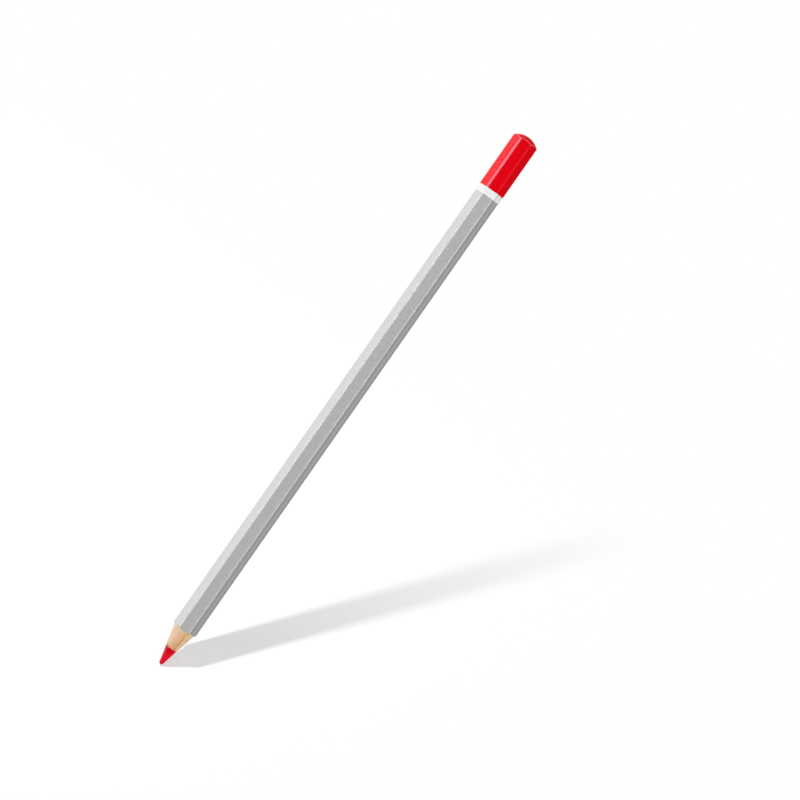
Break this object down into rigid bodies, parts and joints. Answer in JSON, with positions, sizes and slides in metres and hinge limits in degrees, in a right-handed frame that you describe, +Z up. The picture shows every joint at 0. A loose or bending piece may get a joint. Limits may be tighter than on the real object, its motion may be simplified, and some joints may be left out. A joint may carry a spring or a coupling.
{
  "type": "wood-cased marking pencil",
  "caption": "Hexagonal wood-cased marking pencil: a thick red wax lead in a cedar casing milled to a point, with grey lacquer, a white ring and a red dipped end.",
  "frame": {"origin": "centre of the pencil's footprint, on the surface that it lies on", "axes": "+X along the pencil from the point to the dipped end, +Y from one corner of the hexagon to the opposite one, +Z up through two flats, with the glue seam level"},
  "size_m": [0.178, 0.0078, 0.0069],
  "materials": {
    "cedar": "planed and milled, bare",
    "red_wax": "cut wax lead, satin",
    "glue": "cured, matte",
    "primer": "matte base coat",
    "grey_lacquer": "satin lacquer",
    "white_lacquer": "gloss lacquer",
    "red_lacquer": "gloss lacquer"
  },
  "bodies": {
    "root": {"lower_slat": "cedar", "upper_slat": "cedar", "lead": "red_wax", "lead_glue": "glue", "front_seam_glue": "glue", "rear_seam_glue": "glue", "primer_coat": "primer", "grey_lacquer": "grey_lacquer", "white_dip": "white_lacquer", "red_dip": "red_lacquer"}
  },
  "joints": []
}
